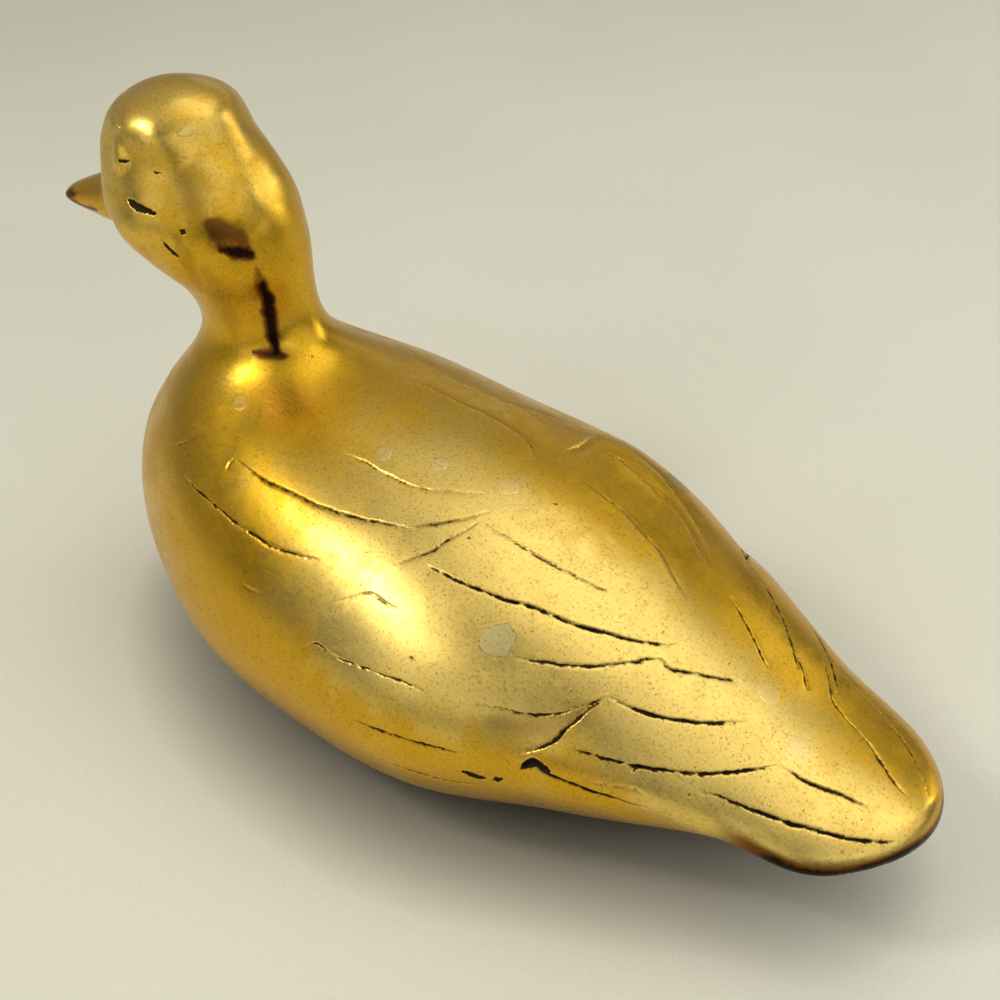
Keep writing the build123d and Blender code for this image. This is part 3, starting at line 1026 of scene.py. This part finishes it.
def brass(slot, dirty=True):
    """Cast brass, filed and polished: painted paler under a painted sheen, with pits, fine scratches, dark
    patina, tarnish and painted shade.
    """
    bright, deep, patina, roughness = brasses[slot]
    broad_share, cloud_share, patina_share = 0.35, 0.30, 0.62
    speckled_height, clean_height, clean_share = 70 * MM, 86 * MM, 0.12
    speck_share, grain_share = 0.66, 0.9
    clear_roughness, cloudy_roughness, scratch_roughness = -0.03, 0.05, 0.05
    stain_roughness, sheen_roughness, stained_metal = 0.35, 0.05, 0.80
    scratch_scale = 420.0
    shader = Shader(slot)
    broad = shader.ramp(shader.noise(*broad_noise), 0.36, 0.64)
    cloud = shader.ramp(shader.noise(*cloud_noise), 0.38, 0.66)
    grain = shader.noise(*grain_noise)
    # Painted sheen: the brass is painted paler where the attribute paints a sheen, or in random patches on
    # the plate
    pale = shader.attribute("painted_sheen") if dirty else broad
    tone = shader.minus(1.0, pale)
    for layer, share in ((broad, broad_share), (cloud, cloud_share)):
        tone = shader.plus(tone, shader.times(shader.minus(layer, 0.5), share))
    colour = shader.mix(shader.ramp(tone, 0.0, 1.0), bright, deep)
    colour = shader.mix(shader.ramp(grain, 0.49, 0.72, 0.0, patina_share), colour, patina)
    fine = shader.times(shader.pits(*fine_pits), shader.ramp(cloud, 0.15, 0.8, 0.20, 0.85))
    speck = shader.greater(fine, shader.pits(*large_pits))
    height = shader.add("ShaderNodeSeparateXYZ", {0: shader.place}).outputs[2]
    speck = shader.times(speck, shader.ramp(height, speckled_height, clean_height, 1.0, clean_share))
    stain = shader.times(speck, speck_share)
    if dirty:
        crust = shader.plus(shader.attribute("dirt"), shader.times(grain, grain_share))
        stain = shader.greater(stain, shader.ramp(crust, 0.62, 1.05))
        # Tarnish, painted dark reflections and painted shade turn the colour brown, then black
        tarnish_and_shade = shader.attribute("tarnish_and_painted_shade")
        colour = shader.mix(shader.ramp(tarnish_and_shade, 0.0, 0.6), colour, brown_tarnish_and_shade)
        colour = shader.mix(shader.ramp(tarnish_and_shade, 0.5, 1.0), colour, black_tarnish_and_shade)
    colour = shader.mix(stain, colour, groove_dirt)
    stretch = {"Vector": shader.place, "Scale": (1.0, 9.0, 3.0), "Rotation": (0.3, 0.2, 0.5)}
    filed = shader.add("ShaderNodeMapping", stretch).outputs[0]
    scratches = {"Vector": filed, "Scale": scratch_scale, "Detail": 3.0, "Roughness": 0.6}
    scratch = shader.add("ShaderNodeTexNoise", scratches).outputs["Fac"]
    rough = shader.ramp(cloud, 0, 1, roughness + clear_roughness, roughness + cloudy_roughness)
    rough = shader.plus(rough, shader.ramp(scratch, 0.4, 0.7, 0.0, scratch_roughness))
    for layer, share in ((stain, stain_roughness), (pale, sheen_roughness)):
        rough = shader.plus(rough, shader.times(layer, share))
    normal = None
    relief = (shader.noise(*dent_noise), grain, scratch, shader.minus(0.0, speck))
    for layer, depth in zip(relief, bump_depths):
        normal = shader.bump(layer, depth, under=normal)
    metal = shader.ramp(stain, 0.25, 1.0, 1.0, stained_metal)
    shader.link(shader.surface, {"Base Color": colour, "Roughness": rough, "Normal": normal,
                                 "Metallic": metal})
    return shader.material


def floor_material():
    """Pale floor, shaded beside the duck, which runs into the background far away."""
    weave_depth, weave_strength, speck_share = 0.10, 0.6, 0.12
    shade_reach, least_light = 22 * MM, 0.08
    haze_start, haze_full, haze = 600 * MM, 1600 * MM, 0.36
    shader = Shader("pale_floor")
    weave = shader.noise(0.9, 3.0, 0.6)
    broad = shader.ramp(shader.noise(160.0, 2.0), 0.35, 0.65)
    colour = shader.mix(broad, *floor_colours)
    colour = shader.mix(shader.ramp(weave, 0.4, 0.7, 0.0, speck_share), colour, floor_speck)
    normal = shader.bump(weave, weave_depth, weave_strength)
    # Little light reaches the floor right beside the duck
    open_sky = shader.add("ShaderNodeAmbientOcclusion", {"Distance": shade_reach}, samples=1).outputs["AO"]
    colour = shader.mix(shader.ramp(open_sky, 0.20, 0.90, least_light, 1.0), (0.0, 0.0, 0.0), colour)
    # The haze shows to the camera and in the metal, and lights nothing else
    away = shader.add("ShaderNodeVectorMath", {0: shader.place}, operation="LENGTH").outputs["Value"]
    path = shader.add("ShaderNodeLightPath", {}).outputs
    seen = shader.greater(path["Is Camera Ray"], path["Is Glossy Ray"])
    far = shader.times(seen, shader.ramp(away, haze_start, haze_full, 0.0, haze))
    shader.link(shader.surface, {"Base Color": colour, "Roughness": 0.55, "Normal": normal,
                                 "Emission Color": (1.0, 1.0, 1.0), "Emission Strength": far})
    return shader.material


def make_stage():
    half = 15000 * MM
    corners = [(-half, -half, 0), (half, -half, 0), (half, half, 0), (-half, half, 0)]
    mesh = bpy.data.meshes.new("floor")
    mesh.from_pydata(corners, [], [(0, 1, 2, 3)])
    floor = placed("floor", mesh)
    mesh.materials.append(floor_material())


def make_camera():
    nearest = 10 * MM
    data = bpy.data.cameras.new("camera")
    data.sensor_width = sensor_width
    data.lens = sensor_width * camera_focus_pixels / picture_pixels
    data.clip_start = nearest
    camera = placed("camera", data)
    axes = Matrix((camera_right, camera_up, -camera_forward)).transposed()
    camera.matrix_world = Matrix.Translation(Vector(camera_place) * MM) @ axes.to_4x4()
    bpy.context.scene.camera = camera


def soft_light(name, azimuth, elevation, distance, width, depth, power):
    """Panel of light that faces the duck's middle."""
    data = bpy.data.lights.new(name, "AREA")
    data.shape = "RECTANGLE"
    data.size = width * MM
    data.size_y = depth * MM
    data.energy = power
    lamp = placed(name, data)
    away = Vector(compass(azimuth, elevation)).normalized()
    lamp.location = (Vector((0, 0, body_height / 2)) + away * distance) * MM
    lamp.rotation_euler = away.to_track_quat("Z", "Y").to_euler()


def compass(azimuth, elevation):
    """Direction from an angle round Z, counted from +X, and an angle above the floor."""
    level = cos(radians(elevation))
    return level * cos(radians(azimuth)), level * sin(radians(azimuth)), sin(radians(elevation))


def make_light():
    """The lamps, and a dark room with two paler sides. The camera alone sees a pale background instead."""
    for name, lamp in lamps.items():
        soft_light(name, *lamp)
    world = bpy.data.worlds.new("studio")
    bpy.context.scene.world = world
    world.use_nodes = True
    nodes = Nodes(world.node_tree, "Generated")
    room = 0.0
    for azimuth, elevation, begins, full, strength in room_sides:
        facing = {0: nodes.place, 1: compass(azimuth, elevation)}
        dot = nodes.add("ShaderNodeVectorMath", facing, operation="DOT_PRODUCT").outputs["Value"]
        room = nodes.plus(room, nodes.ramp(dot, begins, full, 0.0, strength))
    seen = nodes.add("ShaderNodeLightPath", {}).outputs["Is Camera Ray"]
    shown = nodes.times(seen, background_strength)
    unseen = nodes.times(room, nodes.minus(1.0, seen))
    background = world.node_tree.nodes["Background"]
    nodes.link(background, {"Color": room_colour, "Strength": nodes.plus(shown, unseen)})


def finished(points, lines, marks):
    """Points of the smooth form as they lie on the carved and filed surface, and the dirt there."""
    outward = skin(points)[1]
    height, dirt = carve(points, lines, marks)
    return points + (height + unevenness(points))[:, None] * outward, dirt


def duck_skin(points, triangles, lines, marks, tree):
    """The whole duck's outer surface, carved: its points, its triangles and its points' values."""
    oval_points = 400
    angles = round_angles(oval_points)
    oval = np.stack([seam_high[0] * np.cos(angles), seam_high[1] * np.sin(angles), 0 * angles], -1)
    samples = np.concatenate([line.points for line in lines] + [line.points for line, _ in marks] + [oval])
    deep = np.concatenate([line.points for line in lines if line.depth >= deep_cut])
    for places, reach, edge in ((samples, coarse_reach, coarse_edge), (samples, fine_reach, fine_edge),
                                (deep, finest_reach, finest_edge)):
        near = close_to(places, reach)

        def choose(first, second, near=near, edge=edge):
            long = np.linalg.norm(second - first, axis=1) > edge
            return long & near((first + second) / 2), 0.5

        points, triangles = split(points, triangles, choose)
        points = seated(points, rounds=2)
    # Painted shade on the low sides of high steps joins the tarnish, and painted highlights on their crests
    # join the painted sheen
    low, crest_highlight = step_tones(points, lines)
    sheen_and_highlight = np.maximum(painted_sheen(points), crest_highlight)
    dark = np.maximum(tarnish_and_painted_shade(points, tree), low)
    points, dirt = finished(points, lines, marks)
    return points, triangles, np.column_stack([dirt, sheen_and_highlight, dark, normals(points, triangles)])


def plug_outline(name, turns):
    """How far a plug's rim reaches at each turn. It is a polygon of its own, with corners set at random."""
    corners = 9
    corner_shift = 0.15
    first_seed = 40
    radius, uneven_share = chaplets[name][:2]
    draw = np.random.default_rng(sorted(chaplets).index(name) + first_seed)
    bearings = round_angles(corners) + draw.uniform(-corner_shift, corner_shift, corners)
    sizes = radius * (1 + uneven_share * draw.uniform(-1.0, 1.0, corners))
    before = np.searchsorted(bearings, turns, side="right") - 1
    start = bearings[before] - 2 * pi * (before < 0)
    ahead = (before + 1) % corners
    end = bearings[ahead] + 2 * pi * (before == corners - 1)
    straight = np.sin(end - turns) / sizes[before] + np.sin(turns - start) / sizes[ahead]
    return np.sin(end - start) / straight


def plug_faces(spokes, rings):
    """Triangles of a plug's foot, wall and top. The last two points are the top's middle and the foot's."""
    here = np.arange(spokes)
    after = (here + 1) % spokes
    top = rings * spokes
    middle = top + spokes
    faces = [(after, here, np.full(spokes, middle + 1)), (top + here, top + after, np.full(spokes, middle))]
    for low in range(0, top, spokes):
        high = low + spokes
        faces += [(low + here, low + after, high + after), (low + here, high + after, high + here)]
    return np.concatenate([np.stack(face, -1) for face in faces])


def make_chaplet(name, material, slot, lines, marks):
    """Plug with a closed underside that lies a hair proud of the casting, as filing leaves it."""
    spokes, rings = 48, 9
    proud, edge_share, sunk = 0.035, 0.2, 0.9
    seam, squash = chaplets[name][2:]
    low, high = node_box(name)
    centre = seated(((low + high) / 2)[None], rounds=8)
    outward = skin(centre)[1][0]
    across = unit(np.cross(outward, (0.0, 0.0, 1.0)))
    up = np.cross(outward, across)
    turns = round_angles(spokes)
    reach = plug_outline(name, turns)
    spoke = reach[:, None] * (np.cos(turns)[:, None] * across + squash * np.sin(turns)[:, None] * up)
    rows = [centre + spoke * share for share in np.linspace(1.0, 0.0, rings + 1)[:-1]]
    flat = seated(np.concatenate([*rows, centre]))
    points, dirt = finished(flat, lines, marks)
    outward = skin(flat)[1]
    lift = np.full(len(points), proud)
    lift[:spokes] = edge_share * proud
    points += lift[:, None] * outward
    dirt[:spokes] = np.maximum(dirt[:spokes], seam)
    foot = points[:spokes] - sunk * outward[:spokes]
    points = np.concatenate([foot, points, [foot.mean(axis=0)]])
    dirt = np.concatenate([np.zeros(spokes), dirt, [0.0]])
    values = np.column_stack([dirt, painted_sheen(points), np.zeros(len(points))])
    mesh = make_mesh(name + "_plug", points, plug_faces(spokes, rings), values)
    make_piece(name + "_plug", mesh, material, slot, name)


def cut_level(points, triangles, values, height):
    """The mesh with an edge wherever it crosses a height."""
    joined_points = np.column_stack([points, values])

    def choose(first, second):
        low = np.minimum(first[:, 2], second[:, 2])
        high = np.maximum(first[:, 2], second[:, 2])
        crossing = (low < height) & (high > height)
        share = (height - first[:, 2]) / safe(second[:, 2] - first[:, 2])
        return crossing, share

    joined_points, triangles = split(joined_points, triangles, choose)
    return joined_points[:, :3], triangles, joined_points[:, 3:]


def make_duck():
    """The castings and the ring between them, cut from one skin, and the plugs."""
    points, triangles = voxel_skin()
    points = seated(points, rounds=4)
    tree = BVHTree.FromPolygons(points.tolist(), triangles.tolist())
    lines, marks = all_lines(tree)
    points, triangles, values = duck_skin(points, triangles, lines, marks, tree)
    points, triangles, values = rebate(points, triangles, values)
    for height in (ring_low[2], ring_high[2]):
        points, triangles, values = cut_level(points, triangles, values, height)
    level = points[triangles][:, :, 2].mean(axis=1)
    materials = {slot: brass(slot) for slot in ("cast_brass", "braze", "chaplet_brass", "chaplet_iron")}
    parts = (
        ("duck_body", level < ring_low[2], "cast_brass", "body_casting"),
        ("neck_ring", (level > ring_low[2]) & (level < ring_high[2]), "braze", "neck_braze"),
        ("duck_head", level > ring_high[2], "cast_brass", "head_casting"),
    )
    for name, picked, slot, node in parts:
        mesh = make_mesh(name, *capped(points, triangles[picked], values))
        make_piece(name, mesh, materials[slot], slot, node)
    for name in chaplets:
        slot = "chaplet_iron" if name.endswith("_wing") else "chaplet_brass"
        make_chaplet(name, materials[slot], slot, lines, marks)


def dress_nodes():
    """The pieces underneath keep the CAD model's shape."""
    plate = brass("plate_brass", dirty=False)
    for name in ("belly_plate", "belly_braze", "core_plug"):
        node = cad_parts[name]
        node.data.materials.clear()
        node.data.materials.append(plate)


make_camera()
make_stage()
make_light()
make_duck()
dress_nodes()
bpy.context.scene.view_settings.view_transform = "Standard"
